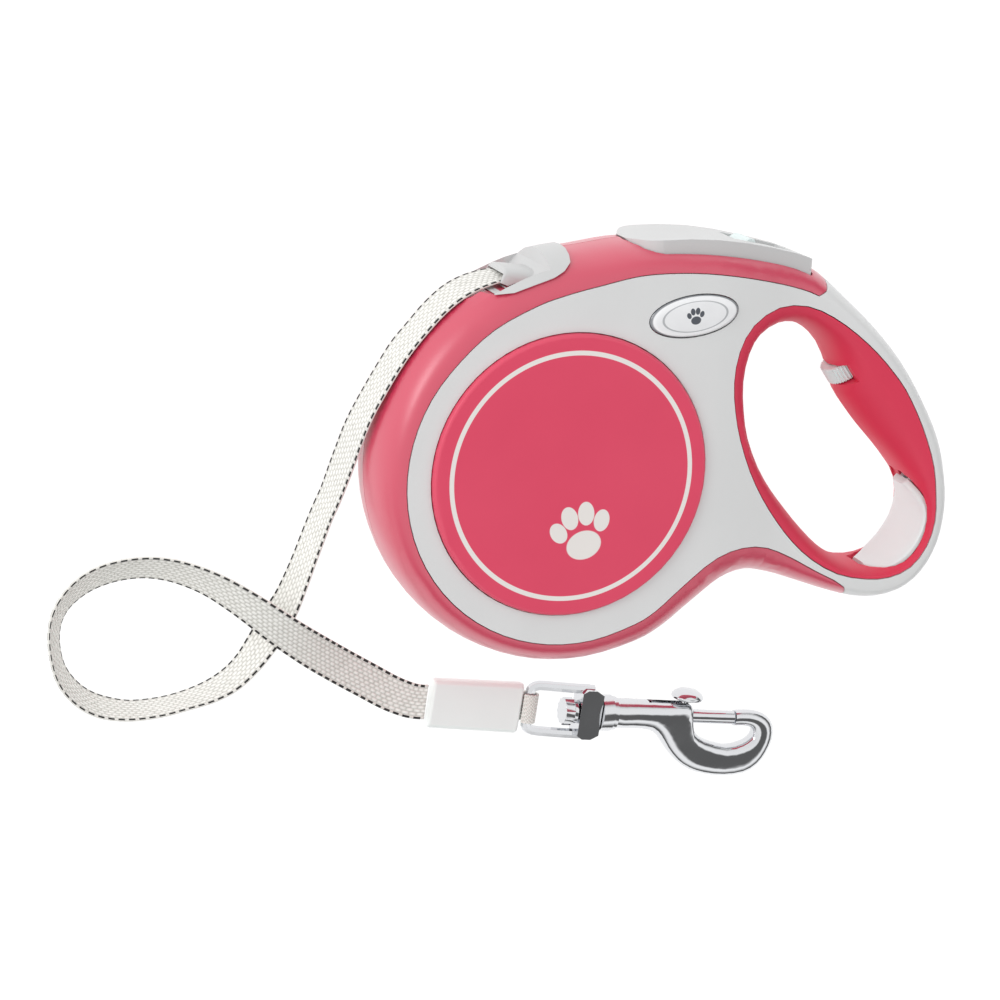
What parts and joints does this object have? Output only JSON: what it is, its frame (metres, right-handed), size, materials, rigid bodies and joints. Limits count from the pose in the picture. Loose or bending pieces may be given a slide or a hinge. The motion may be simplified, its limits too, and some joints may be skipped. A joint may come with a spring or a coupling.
{
  "type": "retractable leash",
  "caption": "Retractable tape leash with a closed hand loop, thumb brake with lock, adjustable hand stop and swivel snap hook.",
  "frame": {"origin": "centre of the reel axis on the side cover that the leash lies on", "axes": "+Z along the reel axis towards the other side cover, +X towards the handle, +Y towards the thumb button"},
  "size_m": [0.3076, 0.1979, 0.044],
  "materials": {
    "red_plastic": "satin",
    "soft_grip": "soft matt",
    "grey_plastic": "fine satin",
    "white_plastic": "satin",
    "badge_dome": "clear gloss",
    "tape": "woven",
    "chrome": "polished",
    "steel": "plain"
  },
  "bodies": {
    "casing": {"upper_shell": "red_plastic", "lower_shell": "red_plastic", "upper_frame": "grey_plastic", "lower_frame": "grey_plastic", "upper_disc": "red_plastic", "lower_disc": "red_plastic", "upper_badge": "badge_dome", "lower_badge": "badge_dome", "grip_liner": "soft_grip", "mouth_guide": "grey_plastic", "casing_screw_1": "steel", "casing_screw_2": "steel", "casing_screw_3": "steel", "casing_screw_4": "steel", "casing_screw_5": "steel", "reel_axle": "steel", "spring_arbor": "steel", "tape_lead": "tape", "brake_spring": "steel", "tape": "tape", "end_sleeve": "white_plastic", "tape_eye_loop": "tape", "snap_eye": "chrome"},
    "reel": {"reel_drum": "grey_plastic", "reel_flange": "grey_plastic", "spring_cover": "grey_plastic", "wound_tape": "tape", "power_spring": "steel"},
    "button": {"brake_button": "grey_plastic", "brake_pawl": "grey_plastic"},
    "lock": {"lock_slider": "grey_plastic"},
    "adjuster": {"adjuster_wheel": "white_plastic", "adjuster_screw": "steel"},
    "stop": {"hand_stop": "white_plastic"},
    "hook": {"snap_body": "chrome", "swivel_pin_head": "chrome", "bolt_spring": "steel"},
    "bolt": {"snap_bolt": "chrome", "bolt_knob": "chrome"}
  },
  "joints": [
    {"name": "reel_spin", "type": "hinge", "parent": "casing", "child": "reel", "pos_m": [0, 0, 0.022], "axis": [0, 0, 1], "continuous": true},
    {"name": "brake_press", "type": "slide", "parent": "casing", "child": "button", "axis": [0, -1, 0], "range_m": [0, 0.003], "stiffness_N_per_m": 600, "springref_m": -0.003, "deforming": ["brake_spring"]},
    {"name": "lock_slide", "type": "slide", "parent": "button", "child": "lock", "axis": [0.9636, -0.2672, 0], "range_m": [0, 0.005]},
    {"name": "adjuster_turn", "type": "hinge", "parent": "casing", "child": "adjuster", "pos_m": [0.1046, 0.0289, 0.022], "axis": [0.5736, -0.8192, 0], "range_deg": [0, 360.5]},
    {"name": "hand_stop_slide", "type": "slide", "parent": "casing", "child": "stop", "axis": [-0.5736, 0.8192, 0], "range_m": [0, 0.004]},
    {"name": "snap_swivel", "type": "hinge", "parent": "casing", "child": "hook", "pos_m": [0.031, -0.0956, 0.0068], "axis": [0.9934, -0.1149, 0], "continuous": true},
    {"name": "bolt_slide", "type": "slide", "parent": "hook", "child": "bolt", "axis": [-0.9934, 0.1149, 0], "range_m": [0, 0.011], "stiffness_N_per_m": 250, "springref_m": -0.006, "deforming": ["bolt_spring"]}
  ],
  "couplings": [
    {"joint": "adjuster_turn", "follows": "hand_stop_slide", "rad_per_m": 1570.8}
  ]
}
